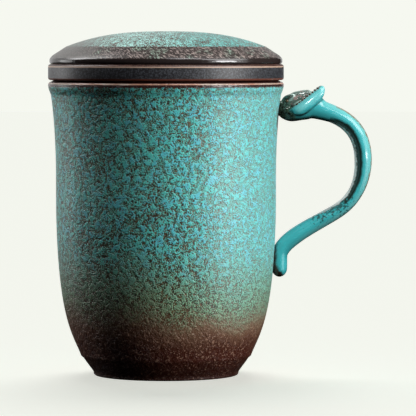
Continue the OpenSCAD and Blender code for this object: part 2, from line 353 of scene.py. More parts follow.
def kiln_glaze():
    """Kiln-changed turquoise glaze: satin islands on brown veins, thinning to bare iron clay at the foot."""
    material, tree, shader, place = new_glaze("kiln-changed turquoise glaze", 0.38)
    axes = add(tree, "SeparateXYZ", {0: place})
    x, z = axes.outputs["X"], axes.outputs["Z"]
    drift = add(tree, "TexNoise", {"Vector": place, "Scale": 1 / 15, "Detail": 3.0})
    level = add(tree, "Math", {0: drift, 1: 12.0, 2: z}, operation="MULTIPLY_ADD")
    grit = add(tree, "TexNoise", {"Vector": place, "Scale": 1 / 0.8, "Detail": 2.0, "Roughness": 0.7})

    # This mask grows from the lit right towards the left, which lies in shade. It widens the veins and lifts
    # the bare clay's edge there, and paints shade: greyer islands, darker veins, a darker clay.
    shaded_side = add(tree, "MapRange", {"Value": x, "From Min": 24.0, "From Max": -22.0})
    low = add(tree, "MapRange", {"Value": level, "From Min": 58.0, "From Max": 32.0})
    # This mask grows towards the lit right side: it thins the veins there, and the paler islands and veins it
    # gives are a painted sheen.
    thick = add(tree, "MapRange", {"Value": x, "From Min": 2.0, "From Max": 30.0})
    shown = add(tree, "Math", {0: low, 1: -0.5, 2: 1.0}, operation="MULTIPLY_ADD")
    thick = add(tree, "Math", {0: thick, 1: shown}, operation="MULTIPLY")
    starved = add(tree, "Math", {0: low, 1: 0.02}, operation="MULTIPLY")
    starved = add(tree, "Math", {0: shaded_side, 1: 0.014, 2: starved}, operation="MULTIPLY_ADD")
    patchy = add(tree, "Math", {0: drift, 1: 0.5}, operation="SUBTRACT")
    starved = add(tree, "Math", {0: patchy, 1: 0.14, 2: starved}, operation="MULTIPLY_ADD")
    share = add(tree, "Math", {0: thick, 1: -0.66, 2: 1.0}, operation="MULTIPLY_ADD")
    body, near = vein_net(tree, place, starved, share)

    tint = add(tree, "TexNoise", {"Vector": place, "Scale": 1 / 3.5, "Detail": 3.0})
    tint = add(tree, "MapRange", {"Value": tint, "From Min": 0.4, "From Max": 0.6})
    island = add(tree, "Mix", {"Factor": tint, "A": "#56d2ca", "B": "#5acad8"})
    island = add(tree, "Mix", {"Factor": near, "A": "#58b0a2", "B": island})
    island = add(tree, "Mix", {"Factor": low, "A": island, "B": "#7ca882"})
    # Painted sheen: the islands are paler on the lit right.
    shown = add(tree, "Math", {0: thick, 1: 0.3}, operation="MULTIPLY")
    island = add(tree, "Mix", {"Factor": shown, "A": island, "B": "#98dce2"})
    # Painted shade: the islands are greyer on the shaded left, more so low down.
    shown = add(tree, "Math", {0: low, 1: 0.35, 2: 0.22}, operation="MULTIPLY_ADD")
    shown = add(tree, "Math", {0: shown, 1: shaded_side}, operation="MULTIPLY")
    island = add(tree, "Mix", {"Factor": shown, "A": island, "B": "#6c7864"})
    iron = add(tree, "MapRange", {"Value": grit, "From Min": 0.4, "From Max": 0.6})
    vein = add(tree, "Mix", {"Factor": iron, "A": "#34221a", "B": "#7c5632"})
    # Painted shade: the veins are darker on the shaded left.
    shaded = add(tree, "Math", {0: shaded_side, 1: 0.5}, operation="MULTIPLY")
    vein = add(tree, "Mix", {"Factor": shaded, "A": vein, "B": "#30443c"})
    # Painted sheen: the veins are paler on the lit right.
    vein_sheen = add(tree, "Math", {0: thick, 1: 0.7}, operation="MULTIPLY")
    vein = add(tree, "Mix", {"Factor": vein_sheen, "A": vein, "B": "#889890"})
    skin = add(tree, "Mix", {"Factor": body, "A": vein, "B": island})

    speck = add(tree, "MapRange", {"Value": grit, "From Min": 0.55, "From Max": 0.7})
    clay = add(tree, "Mix", {"Factor": speck, "A": "#481d10", "B": "#b8927c"})
    dusty = add(tree, "MapRange", {"Value": level, "From Min": 16.0, "From Max": 28.0})
    # Painted shade: the clay is less dusty, so darker, on the shaded left.
    shown = add(tree, "Math", {0: shaded_side, 1: -0.4, 2: 0.6}, operation="MULTIPLY_ADD")
    dusty = add(tree, "Math", {0: dusty, 1: shown}, operation="MULTIPLY")
    clay = add(tree, "Mix", {"Factor": dusty, "A": clay, "B": "#9a7a60"})
    # Darker towards the bottom of the foot.
    darker_low = add(
        tree,
        "MapRange",
        {"Value": level, "From Min": 16.0, "From Max": 9.0, "To Max": 0.6},
        interpolation_type="LINEAR",
    )
    clay = add(tree, "Mix", {"Factor": darker_low, "A": clay, "B": "#1c0b07"})
    bare = add(tree, "Math", {0: shaded_side, 1: -2.0, 2: level}, operation="MULTIPLY_ADD")
    bare = add(tree, "Math", {0: grit, 1: 8.0, 2: bare}, operation="MULTIPLY_ADD")
    bare = add(tree, "MapRange", {"Value": bare, "From Min": 40.0, "From Max": 26.0})
    skin = add(tree, "Mix", {"Factor": bare, "A": skin, "B": clay})

    lip = add(tree, "Math", {0: grit, 1: 1.2, 2: z}, operation="MULTIPLY_ADD")
    lip = add(tree, "MapRange", {"Value": lip, "From Min": CUP_H - 2.0, "From Max": CUP_H - 1.5})
    # The lip is dark brown with a pale line along its crest: partly thin copper glaze, partly a painted
    # highlight.
    crest = add(tree, "Math", {0: z, 1: CUP_H - 1.1}, operation="SUBTRACT")
    crest = add(tree, "Math", {0: crest}, operation="ABSOLUTE")
    crest = add(tree, "MapRange", {"Value": crest, "From Min": 0.36, "From Max": 0.08})
    crest_glaze_and_highlight = add(tree, "MapRange", {"Value": drift, "From Min": 0.44, "From Max": 0.56})
    crest_glaze_and_highlight = add(tree, "Mix", {"Factor": crest_glaze_and_highlight, "A": "#bca898", "B": "#b4826c"})
    copper = add(tree, "Mix", {"Factor": crest, "A": "#3a2422", "B": crest_glaze_and_highlight})
    skin = add(tree, "Mix", {"Factor": lip, "A": skin, "B": copper})
    head_joint = (LIP_R - 3.1, 0.0, CUP_H - 14.2)
    luted = add(tree, "VectorMath", {0: place, 1: head_joint}, operation="SUBTRACT")
    luted = add(tree, "VectorMath", {0: luted, 1: (0.5, 0.75, 0.75)}, operation="MULTIPLY")
    luted = add(tree, "VectorMath", {0: luted}, operation="LENGTH").outputs["Value"]
    luted = add(tree, "Math", {0: grit, 1: 3.0, 2: luted}, operation="MULTIPLY_ADD")
    luted = add(tree, "MapRange", {"Value": luted, "From Min": 7.0, "From Max": 6.2})
    skin = add(tree, "Mix", {"Factor": luted, "A": skin, "B": "#241a16"})
    gloss = add(tree, "MapRange", {"Value": lip, "To Min": 0.4, "To Max": 0.2}, interpolation_type="LINEAR")
    tree.links.new(gloss.outputs[0], shader.inputs["Roughness"])
    tree.links.new(skin.outputs[2], shader.inputs["Base Color"])

    pebble = add(tree, "TexNoise", {"Vector": place, "Scale": 1 / 2.2, "Detail": 2.0})
    height = add(tree, "Math", {0: pebble, 1: 1.5, 2: near}, operation="MULTIPLY_ADD")
    height = add(tree, "Math", {0: body, 1: 0.5, 2: height}, operation="MULTIPLY_ADD")
    height = add(tree, "Math", {0: grit, 1: 0.3, 2: height}, operation="MULTIPLY_ADD")
    relief = add(tree, "Bump", {"Height": height, "Distance": 0.00009, "Strength": 1.0})
    tree.links.new(relief.outputs["Normal"], shader.inputs["Normal"])
    return material


def liner_glaze():
    """Plain glaze that lines the cup, poured in and drained, so it is smooth and even."""
    material, tree, shader, place = new_glaze("poured liner glaze", 0.3)
    drift = add(tree, "TexNoise", {"Vector": place, "Scale": 1 / 7.0, "Detail": 3.0})
    skin = add(tree, "Mix", {"Factor": drift, "A": "#4bada3", "B": "#38867f"})
    tree.links.new(skin.outputs[2], shader.inputs["Base Color"])
    return material


def bare_stoneware():
    """The wiped foot ring: bare dark stoneware, dry and a little gritty."""
    material, tree, shader, place = new_glaze("bare stoneware", 0.85)
    grit = add(tree, "TexNoise", {"Vector": place, "Scale": 1 / 0.5, "Detail": 3.0, "Roughness": 0.7})
    skin = add(tree, "Mix", {"Factor": grit, "A": "#3a251c", "B": "#6b4a38"})
    tree.links.new(skin.outputs[2], shader.inputs["Base Color"])
    return material


TURQUOISE = kiln_glaze()
LINER = liner_glaze()
STONEWARE = bare_stoneware()
cup.data.materials.append(TURQUOISE)
give_slot(cup, LINER, lambda p: 3 < p.z < CUP_H - 0.6 and Vector(p.xy).length < wall_radius(p.z) - 2.5)
give_slot(cup, STONEWARE, lambda p: p.z < 2.5 and Vector(p.xy).length < FOOT_R - 0.5)
finished(cup, "cup", "cup", "cup_body", slot="cup_glaze")

# The handle
# A rolled coil of clay, bent to a bow and luted to the wall: an arm slopes in from below the bow and its tail
# lies down the wall. A smooth glossy turquoise glaze covers it and goes dark where it pooled; the dark inside
# the bow is partly painted shade, and a pale band on its inner edge is a painted reflection.
HEAD_MIDDLE_Z = CUP_H - 9.8
NECK_X = wall_radius(HEAD_MIDDLE_Z) + 16
BOW_T = 6.6
BOW_W = 8.8
handle_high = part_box("handle")[1]
neck = (NECK_X, CUP_H - 11.3)
bow_out = (handle_high.x / MM - BOW_T / 2, CUP_H - 29.7)
arm_start = (bow_out[0] - 10, bow_out[1] - 19)
TAIL_TOP_Z = CUP_H - 65.2
TAIL_LEN = 7.7
tail_top = (wall_radius(TAIL_TOP_Z) + 2, TAIL_TOP_Z)


def heading(degrees):
    """A step of one millimetre in a direction."""
    return math.cos(math.radians(degrees)), math.sin(math.radians(degrees))


def ahead(point, degrees, distance):
    """A point that lies some way on from another."""
    step = heading(degrees)
    return point[0] + distance * step[0], point[1] + distance * step[1]


upper_bow = curve(
    neck, ahead(neck, -14, 0.62 * (bow_out[0] - neck[0])), ahead(bow_out, 90, 0.59 * (neck[1] - bow_out[1])),
    bow_out, 16,
)
lower_bow = curve(bow_out, ahead(bow_out, -90, 7.6), ahead(arm_start, 31, 8.5), arm_start, 14)
arm = curve(
    arm_start, ahead(arm_start, 211, 0.44 * (arm_start[0] - tail_top[0])),
    ahead(tail_top, 90, 0.36 * (arm_start[1] - tail_top[1])), tail_top, 18,
)
head_root = [ahead(neck, 166, back) for back in (7, 3.5)]
handle_path = head_root + upper_bow + lower_bow[1:] + arm[1:]
girth = {0: 5.6, 2: BOW_T, 18: BOW_T, 26: 5.5, 30: 5.5, 43: 6.3, 50: 5.9}


def girth_at(i):
    """Thickness of the handle at a point of its path, between the stated ones."""
    stops = sorted(girth)
    for low, high in zip(stops, stops[1:]):
        if low <= i <= high:
            return girth[low] + (girth[high] - girth[low]) * (i - low) / (high - low)
    return girth[stops[-1]]


def strand(points, thick, sides):
    """A roll of clay: a ring that is extruded, turned and resized from point to point, in millimetres.

    Each thickness is a pair, the one in the XZ plane and the one across it.
    """
    bpy.ops.object.select_all(action="DESELECT")
    places = [Vector(p) * MM for p in points]

    def lean(i):
        along = places[min(i + 1, len(places) - 1)] - places[max(i - 1, 0)]
        return math.atan2(along.z, along.x)

    bpy.ops.mesh.primitive_circle_add(
        vertices=sides,
        radius=MM / 2,
        location=places[0],
        rotation=(0, math.pi / 2 - lean(0), 0),
        fill_type="NGON",
    )
    shape = bpy.context.object
    bpy.ops.object.transform_apply(location=True, rotation=True, scale=True)
    bpy.ops.object.mode_set(mode="EDIT")
    bpy.ops.mesh.select_all(action="SELECT")
    tall, deep = thick[0]
    bpy.ops.transform.resize(value=(tall, deep, tall), center_override=places[0])
    for i in range(1, len(places)):
        bpy.ops.mesh.extrude_region_move(TRANSFORM_OT_translate={"value": places[i] - places[i - 1]})
        bpy.ops.transform.rotate(value=lean(i) - lean(i - 1), orient_axis="Y", center_override=places[i])
        (tall, deep), (last_tall, last_deep) = thick[i], thick[i - 1]
        ratio = (tall / last_tall, deep / last_deep, tall / last_tall)
        bpy.ops.transform.resize(value=ratio, center_override=places[i])
    bpy.ops.mesh.select_all(action="SELECT")
    bpy.ops.mesh.normals_make_consistent(inside=False)
    bpy.ops.object.mode_set(mode="OBJECT")
    return shape


def smoothed(piece, levels):
    """Rounds a piece off with a subdivision surface."""
    soft = piece.modifiers.new("smooth", "SUBSURF")
    soft.levels = levels
    soft.render_levels = levels
    bpy.context.view_layer.objects.active = piece
    bpy.ops.object.modifier_apply(modifier=soft.name)


thick = [girth_at(i) for i in range(len(handle_path))]
TAIL_HALF = thick[-1] / 2
tip_z = tail_top[1] - TAIL_LEN + TAIL_HALF
handle_path.append((tail_top[0], (tail_top[1] + tip_z) / 2))
thick.append(2 * TAIL_HALF)
for lean in (0, 25, 50, 72, 86):
    handle_path.append((tail_top[0], tip_z - TAIL_HALF * math.sin(math.radians(lean))))
    thick.append(2 * TAIL_HALF * math.cos(math.radians(lean)))
handle = strand([(x, 0.0, z) for x, z in handle_path], [(t, t * BOW_W / BOW_T) for t in thick], sides=20)
smoothed(handle, 1)


def flowed_turquoise(tree, place):
    """The turquoise of handle and neck, pale where it ran thin, and how far a spot faces into the bow."""
    drift = add(tree, "TexNoise", {"Vector": place, "Scale": 1 / 5.0, "Detail": 2.0})
    skin = add(tree, "Mix", {"Factor": drift, "A": "#42aaae", "B": "#2e8a8e"})
    middle = (bow_out[0] - 17.0, 0.0, bow_out[1] - 2.0)
    inward = add(tree, "VectorMath", {0: middle, 1: place}, operation="SUBTRACT")
    inward = add(tree, "VectorMath", {0: inward, 1: (1.0, 0.0, 1.0)}, operation="MULTIPLY")
    inward = add(tree, "VectorMath", {0: inward}, operation="NORMALIZE")
    out = add(tree, "TexCoord").outputs["Normal"]
    facing = add(tree, "VectorMath", {0: inward, 1: out}, operation="DOT_PRODUCT").outputs["Value"]
    thin = add(
        tree,
        "MapRange",
        {"Value": facing, "From Min": -0.3, "From Max": -1.0, "To Max": 0.4},
        interpolation_type="LINEAR",
    )
    skin = add(tree, "Mix", {"Factor": thin, "A": skin, "B": "#98d0c8"})
    return skin, facing


def smooth_glaze():
    """Glossy turquoise glaze off the coil: thin and tan outside, dark inside the bow by pooling and painted
    shade.
    """
    material, tree, shader, place = new_glaze("smooth turquoise glaze", 0.16)
    axes = add(tree, "SeparateXYZ", {0: place})
    x, z = axes.outputs["X"], axes.outputs["Z"]
    blot = add(tree, "TexNoise", {"Vector": place, "Scale": 1 / 1.6, "Detail": 3.0, "Roughness": 0.6})
    skin, facing = flowed_turquoise(tree, place)
    ragged = add(tree, "Math", {0: blot, 1: 0.35, 2: facing}, operation="MULTIPLY_ADD")
    by_neck = add(
        tree,
        "MapRange",
        {"Value": x, "From Min": neck[0] + 1.0, "From Max": neck[0] + 9.0, "To Min": -0.6, "To Max": 0.0},
        interpolation_type="LINEAR",
    )
    # Dark inside the bow: partly glaze that pooled there, partly painted shade.
    inside = add(tree, "Math", {0: ragged, 1: by_neck}, operation="ADD")
    inside = add(tree, "MapRange", {"Value": inside, "From Min": 0.12, "From Max": 0.52})
    bend = add(tree, "Math", {0: blot, 1: 16.0, 2: z}, operation="MULTIPLY_ADD")
    bend = add(tree, "MapRange", {"Value": bend, "From Min": 70.0, "From Max": 74.0})
    inside = add(tree, "Math", {0: inside, 1: bend}, operation="MULTIPLY")
    bend_spot = (arm_start[0] + 0.5, 0.0, arm_start[1] + 2.5)
    near_bend = add(tree, "VectorMath", {0: place, 1: bend_spot}, operation="DISTANCE")
    patch = add(tree, "TexNoise", {"Vector": place, "Scale": 1 / 0.9, "Detail": 2.0, "Roughness": 0.6})
    patch = add(
        tree, "Math", {0: near_bend.outputs["Value"], 1: -0.022, 2: patch}, operation="MULTIPLY_ADD"
    )
    patch = add(tree, "Math", {0: facing, 1: 0.12, 2: patch}, operation="MULTIPLY_ADD")
    patch = add(tree, "MapRange", {"Value": patch, "From Min": 0.37, "From Max": 0.45, "To Max": 0.8})
    inside = add(tree, "Math", {0: inside, 1: patch}, operation="MAXIMUM")
    skin = add(tree, "Mix", {"Factor": inside, "A": skin, "B": "#1e2c28"})
    # Painted reflection: a near white band on the bow's inner edge, where it faces left.
    edge = add(tree, "MapRange", {"Value": ragged, "From Min": 0.92, "From Max": 1.08})
    out = add(tree, "TexCoord").outputs["Normal"]
    left = add(tree, "SeparateXYZ", {0: out}).outputs["X"]
    left = add(
        tree, "MapRange", {"Value": left, "From Min": -0.3, "From Max": -0.6}, interpolation_type="LINEAR"
    )
    edge = add(tree, "Math", {0: edge, 1: left}, operation="MULTIPLY")
    skin = add(tree, "Mix", {"Factor": edge, "A": skin, "B": "#dcdedc"})
    outside = add(tree, "MapRange", {"Value": ragged, "From Min": -0.69, "From Max": -0.82})
    on_arm = add(
        tree,
        "MapRange",
        {"Value": z, "From Min": bow_out[1] - 9.0, "From Max": bow_out[1] - 16.0},
        interpolation_type="LINEAR",
    )
    rim = add(tree, "Mix", {"Factor": on_arm, "A": "#7c7258", "B": "#362e26"})
    skin = add(tree, "Mix", {"Factor": outside, "A": skin, "B": rim})

    tip = add(
        tree,
        "MapRange",
        {"Value": z, "From Min": tip_z - TAIL_HALF, "From Max": tip_z + 1.5, "To Min": -3.4, "To Max": 0.0},
        interpolation_type="LINEAR",
    )
    pool = add(tree, "Math", {0: blot, 1: 2.4, 2: x}, operation="MULTIPLY_ADD")
    pool = add(tree, "Math", {0: pool, 1: tip}, operation="ADD")
    pool = add(
        tree, "MapRange", {"Value": pool, "From Min": tail_top[0] + 0.6, "From Max": tail_top[0] - 0.8}
    )
    skin = add(tree, "Mix", {"Factor": pool, "A": skin, "B": "#2c2018"})
    tree.links.new(skin.outputs[2], shader.inputs["Base Color"])
    return material


HANDLE_GLAZE = smooth_glaze()
handle.data.materials.append(HANDLE_GLAZE)
finished(handle, "bow_handle", "cup", "handle", slot="handle_glaze")
handle_set.objects.link(handle)

# The head
# A small beast head of traditional kind, modelled by hand and luted between the bow and the wall. A thick
# curl lies along each cheek and runs up to a blunt tip, and a row of clay beads parts it from the mane.


def lump(x, y, z, rx, ry, rz, lean=0):
    """A ball of clay in millimetres, pressed to its radii and leaning up towards the handle."""
    bpy.ops.object.select_all(action="DESELECT")
    bpy.ops.mesh.primitive_uv_sphere_add(
        segments=28,
        ring_count=16,
        radius=MM,
        location=(x * MM, y * MM, z * MM),
        rotation=(0, math.radians(-lean), 0),
        scale=(rx, ry, rz),
    )
    bpy.ops.object.transform_apply(location=True, rotation=True, scale=True)
    return bpy.context.object


def joined(pieces):
    """One mesh of several."""
    bpy.ops.object.select_all(action="DESELECT")
    for piece in pieces:
        piece.select_set(True)
    bpy.context.view_layer.objects.active = pieces[0]
    bpy.ops.object.join()
    return bpy.context.object


def kneaded(piece, grain, rounds):
    """Joins overlapping lumps to one skin with a voxel remesh, and rubs their seams smooth."""
    bpy.context.view_layer.objects.active = piece
    skin = piece.modifiers.new("skin", "REMESH")
    skin.mode = "VOXEL"
    skin.voxel_size = grain * MM
    bpy.ops.object.modifier_apply(modifier=skin.name)
    rub = piece.modifiers.new("rub", "SMOOTH")
    rub.factor = 0.5
    rub.iterations = rounds
    bpy.ops.object.modifier_apply(modifier=rub.name)
    return piece


# Stations of the head from the wall to the handle: x, lowest z, highest z, half width.
head_stations = [
    (40.9, 97.4, 99.3, 1.3),
    (41.7, 96.2, 100.4, 2.2),
    (42.8, 94.9, 101.5, 3.0),
    (44.2, 93.9, 103.0, 3.7),
    (45.7, 93.7, 104.0, 4.2),
    (47.7, 94.0, 104.5, 4.6),
    (50.0, 94.4, 105.0, 4.8),
    (52.4, 94.6, 105.3, 4.8),
    (54.2, 94.6, 104.9, 4.7),
    (55.6, 94.6, 103.7, 4.6),
    (56.8, 94.5, 102.4, 4.5),
    (58.2, 94.3, 101.5, 4.5),
    (60.0, 93.9, 100.8, 4.45),
    (61.8, 93.4, 100.1, 4.35),
    (63.4, 93.2, 99.1, 4.0),
]


def head_top(x, y):
    """Height of the head's back at a place, in millimetres."""
    for (x0, low0, high0, half0), (x1, low1, high1, half1) in zip(head_stations, head_stations[1:]):
        if x0 <= x <= x1:
            t = (x - x0) / (x1 - x0)
            low, high, half = (a + t * (b - a) for a, b in ((low0, low1), (high0, high1), (half0, half1)))
            return (low + high) / 2 + (high - low) / 2 * math.sqrt(max(0.0, 1 - (y / half) ** 2))
    return 0.0


# Lumps on each cheek: x, distance from the middle, z, the three radii and the lean.
BROW = (45.9, 3.0, 103.2, 2.0, 1.0, 0.8, 22)
NOSTRIL = (42.5, 1.9, 100.8, 0.9, 0.9, 0.8, 0)
JAW = (44.6, 3.2, 98.4, 1.9, 1.2, 1.4, 30)
EYE = (44.7, 3.05, 101.5, 0.8, 0.7, 0.7, 0)

# Stations of a curl from the jaw to its tip: x, distance from the middle, z and the two thicknesses.
curl_stations = [
    (46.5, 4.0, 98.6, 1.0, 1.0),
    (47.0, 4.2, 98.3, 3.0, 2.6),
    (48.7, 4.4, 98.2, 4.9, 4.1),
    (50.8, 4.5, 99.2, 5.3, 4.4),
    (53.2, 4.4, 101.1, 5.0, 4.1),
    (55.5, 4.0, 103.1, 4.5, 3.7),
    (56.9, 3.7, 104.7, 3.8, 3.3),
    (57.4, 3.5, 105.9, 3.0, 2.7),
    (57.8, 3.4, 106.7, 2.0, 1.8),
    (57.9, 3.3, 107.2, 0.9, 0.8),
]
COMB_PITCH = 1.15
COMB_LENGTH_STEP = 1.05
COMB_START_X = 46.4

trunk = strand(
    [(x, 0.0, (low + high) / 2) for x, low, high, half in head_stations],
    [(high - low, 2 * half) for x, low, high, half in head_stations],
    sides=24,
)
smoothed(trunk, 2)
clay = [trunk]
for side in (-1, 1):
    clay += [lump(x, side * y, *form) for x, y, *form in (BROW, NOSTRIL, JAW)]
    curl = strand(
        [(x, side * y, z) for x, y, z, tall, deep in curl_stations],
        [(tall, deep) for x, y, z, tall, deep in curl_stations],
        sides=20,
    )
    smoothed(curl, 2)
    clay.append(curl)
for row in range(-3, 4):
    y = row * COMB_PITCH
    comb = [(x, y, head_top(x, y) + 0.05) for x in (COMB_START_X + i * COMB_LENGTH_STEP for i in range(8))]
    clay.append(strand(comb, [(0.5, 0.5)] + [(0.95, 0.9)] * 6 + [(0.5, 0.5)], sides=10))
head = kneaded(joined(clay), grain=0.22, rounds=6)

# The beads lie in the seam between curl and mane: each is set where a line across the head meets the clay.
BEADS = 9
BEAD_START = (48.4, 100.4)
BEAD_STEP = (0.97, 0.72)
beads = []
for side in (-1, 1):
    for i in range(BEADS):
        x, z = (start + i * step for start, step in zip(BEAD_START, BEAD_STEP))
        met, spot = head.ray_cast(Vector((x, side * 12, z)) * MM, Vector((0, -side, 0)))[:2]
        if met:
            beads.append(lump(x, spot.y / MM, z, 0.44, 0.44, 0.4))
beads = joined(beads)
x, y, *form = EYE
eyes = joined([lump(x, side * y, *form) for side in (-1, 1)])


def head_glaze():
    """Glaze that broke over the modelling: turquoise on curl and neck, grey on the mane, dark at the jaw."""
    material, tree, shader, place = new_glaze("broken glaze of the head", 0.13)
    axes = add(tree, "SeparateXYZ", {0: place})
    x, y, z = axes.outputs["X"], axes.outputs["Y"], axes.outputs["Z"]
    drift = add(tree, "TexNoise", {"Vector": place, "Scale": 1 / 1.6, "Detail": 3.0})
    comb = add(tree, "Math", {0: y, 1: math.tau / COMB_PITCH}, operation="MULTIPLY")
    comb = add(tree, "Math", {0: comb}, operation="COSINE")
    ridge = add(tree, "MapRange", {"Value": comb, "From Min": -0.6, "From Max": 0.8})
    mane = add(tree, "Mix", {"Factor": ridge, "A": "#46564f", "B": "#a8c0b8"})
    rosy = add(tree, "MapRange", {"Value": drift, "From Min": 0.5, "From Max": 0.62})
    mane = add(tree, "Mix", {"Factor": rosy, "A": mane, "B": "#867470"})
    mottle = add(tree, "TexNoise", {"Vector": place, "Scale": 1 / 0.9, "Detail": 3.0, "Roughness": 0.6})
    mottle = add(
        tree, "MapRange", {"Value": mottle, "From Min": 0.42, "From Max": 0.62}, interpolation_type="LINEAR"
    )
    dark = add(tree, "Mix", {"Factor": mottle, "A": "#141814", "B": "#3e584a"})
    high = add(tree, "Math", {0: drift, 1: 2.0, 2: z}, operation="MULTIPLY_ADD")
    high = add(tree, "MapRange", {"Value": high, "From Min": 100.6, "From Max": 102.6})
    back = add(tree, "MapRange", {"Value": x, "From Min": 44.8, "From Max": 47.6})
    high = add(tree, "Math", {0: high, 1: back}, operation="MULTIPLY")
    skin = add(tree, "Mix", {"Factor": high, "A": dark, "B": mane})

    curl_edge = (46.3, 0.0, 98.9)
    curl_start = (49.0, 0.0, 98.5)
    curl_way = (0.797, 0.0, 0.604)
    square_to_curl = (curl_way[2], 0.0, -curl_way[0])
    across = add(tree, "VectorMath", {0: place, 1: curl_edge}, operation="SUBTRACT")
    below = add(tree, "VectorMath", {0: across, 1: square_to_curl}, operation="DOT_PRODUCT")
    curl = add(tree, "MapRange", {"Value": below.outputs["Value"], "From Min": -0.1, "From Max": 0.35})
    neck_side = add(tree, "Math", {0: z, 1: 0.9, 2: x}, operation="MULTIPLY_ADD")
    neck_side = add(tree, "Math", {0: drift, 1: 2.4, 2: neck_side}, operation="MULTIPLY_ADD")
    neck_side = add(tree, "MapRange", {"Value": neck_side, "From Min": 134.6, "From Max": 136.6})
    curl = add(tree, "Math", {0: curl, 1: neck_side}, operation="MULTIPLY")
    blue = flowed_turquoise(tree, place)[0]
    reach = add(tree, "VectorMath", {0: place, 1: curl_start}, operation="SUBTRACT")
    reach = add(tree, "VectorMath", {0: reach, 1: (1.0, 0.0, 1.0)}, operation="MULTIPLY")
    along = add(tree, "VectorMath", {0: reach, 1: curl_way}, operation="DOT_PRODUCT")
    along = add(tree, "Math", {0: along.outputs["Value"], 1: 0.0}, operation="MAXIMUM")
    along = add(tree, "VectorMath", {0: curl_way, "Scale": along}, operation="SCALE")
    from_curl = add(tree, "VectorMath", {0: reach, 1: along}, operation="DISTANCE").outputs["Value"]
    # Paler along the crown of the curl: partly thinner glaze, partly a painted highlight.
    pale = add(tree, "MapRange", {"Value": from_curl, "From Min": 1.8, "From Max": 0.4, "To Max": 0.4})
    blue = add(tree, "Mix", {"Factor": pale, "A": blue, "B": "#8cd4d2"})
    # Painted shade along the crease under the curl.
    crease_shade = add(tree, "Math", {0: from_curl, 1: 2.55}, operation="SUBTRACT")
    crease_shade = add(tree, "Math", {0: crease_shade}, operation="ABSOLUTE")
    crease_shade = add(tree, "MapRange", {"Value": crease_shade, "From Min": 0.5, "From Max": 0.1, "To Max": 0.6})
    blue = add(tree, "Mix", {"Factor": crease_shade, "A": blue, "B": "#1a5250"})
    skin = add(tree, "Mix", {"Factor": curl, "A": skin, "B": blue})
    out = add(tree, "TexCoord").outputs["Normal"]
    up = add(tree, "SeparateXYZ", {0: out}).outputs["Z"]
    # Painted shade on the faces that look downwards.
    down = add(tree, "MapRange", {"Value": up, "From Min": -0.6, "From Max": -0.9})
    skin = add(tree, "Mix", {"Factor": down, "A": skin, "B": "#22302a"})
    tree.links.new(skin.outputs[2], shader.inputs["Base Color"])
    return material


def bead_glaze():
    """Thick dark brown glaze that sits on the beads and the eyes, as shiny as a drop."""
    material, tree, shader, place = new_glaze("thick brown bead glaze", 0.15)
    drift = add(tree, "TexNoise", {"Vector": place, "Scale": 1 / 0.8, "Detail": 2.0})
    skin = add(tree, "Mix", {"Factor": drift, "A": "#20130c", "B": "#5a4a2c"})
    tree.links.new(skin.outputs[2], shader.inputs["Base Color"])
    return material


BEAD_GLAZE = bead_glaze()
head.data.materials.append(head_glaze())
beads.data.materials.append(BEAD_GLAZE)
eyes.data.materials.append(BEAD_GLAZE)
finished(head, "beast_head", "cup", "handle_head", slot="head_glaze")
handle_set.objects.link(head)
finished(beads, "mane_beads", "cup", slot="head_glaze")
finished(eyes, "eyes", "cup", slot="head_glaze")

# The infuser
# A thrown basket that hangs in the cup by its flange. A cone under the flange centres it, its bore takes
# the lid, and holes through its floor drain it. Its dark iron glaze thins to copper on the edges, and the
# pale line below the flange's top is partly a painted highlight.
infuser_low, infuser_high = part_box("infuser")
FLANGE_R = infuser_high.x / MM
FLANGE_TOP = infuser_high.z / MM
SEAT_R = MOUTH_R - 0.8
BORE_R = SEAT_R - 3
BORE_LOW = FLANGE_TOP - 9
CONE_LOW = BORE_LOW - 8
BASKET_R = BELLY_R - CUP_WALL - 0.85
BASKET_LOW = infuser_low.z / MM
BASKET_LOW_R = BASKET_R - 2.2
BASKET_WALL = 3.0
BASKET_FLOOR = BASKET_LOW + BASKET_WALL
BASKET_FLAT_R = 14.0
BASKET_BEND = 3
HOLE_R = 1.1
HOLE_PITCH = 6.2
HOLE_RINGS = 4
infuser = turned(
    [(0.0, BASKET_LOW), (BASKET_FLAT_R, BASKET_LOW)]
    + arc(BASKET_LOW_R - BASKET_BEND, BASKET_LOW + BASKET_BEND, BASKET_BEND, -90, 0, 8)
    + [(BASKET_R, CONE_LOW), (SEAT_R, CUP_H), (FLANGE_R - 1.7, CUP_H)]
    + arc(FLANGE_R - 0.9, CUP_H + 1.0, 0.9, -90, 0, 7)
    + arc(FLANGE_R - 1.0, FLANGE_TOP - 1.0, 1.0, 0, 90, 7)
    + [(BORE_R + 0.5, FLANGE_TOP), (BORE_R, FLANGE_TOP - 0.5), (BORE_R, BORE_LOW)]
    + [(BASKET_R - BASKET_WALL, BORE_LOW - 5)]
    + arc(BASKET_LOW_R - BASKET_WALL - BASKET_BEND, BASKET_FLOOR + BASKET_BEND, BASKET_BEND, 0, -90, 8)
    + [(BASKET_FLAT_R, BASKET_FLOOR), (0.0, BASKET_FLOOR)]
)


